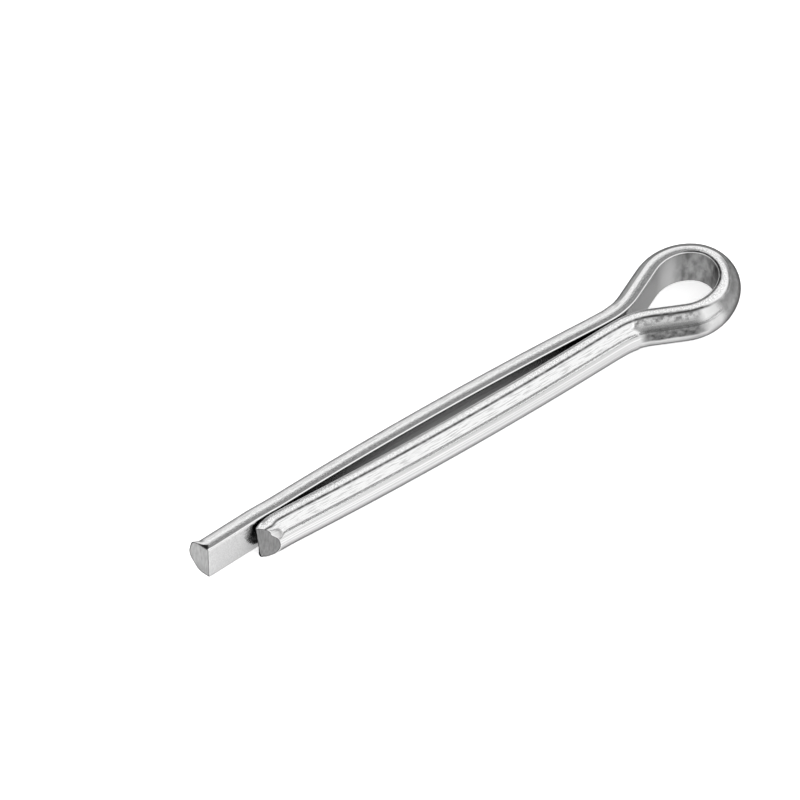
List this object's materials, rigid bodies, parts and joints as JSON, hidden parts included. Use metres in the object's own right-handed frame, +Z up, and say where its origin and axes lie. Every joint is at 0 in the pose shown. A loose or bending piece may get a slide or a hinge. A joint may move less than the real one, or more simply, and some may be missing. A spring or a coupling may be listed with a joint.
{
  "type": "cotter pin",
  "caption": "Cotter pin of half-round steel wire, folded flat side inwards into a tear-drop eye and a bowed split shank with a long leg and a short leg, both sheared off.",
  "frame": {"origin": "on the axis of the shank at the neck, where the flats of the wire come together, halfway up the wire", "axes": "+X along the shank from the tips to the eye, +Y across the legs towards the long leg, +Z up, through the eye"},
  "size_m": [0.0477, 0.008, 0.0036],
  "materials": {
    "steel": "bright drawn wire"
  },
  "bodies": {
    "root": {"cotter_pin": "steel"}
  },
  "joints": []
}
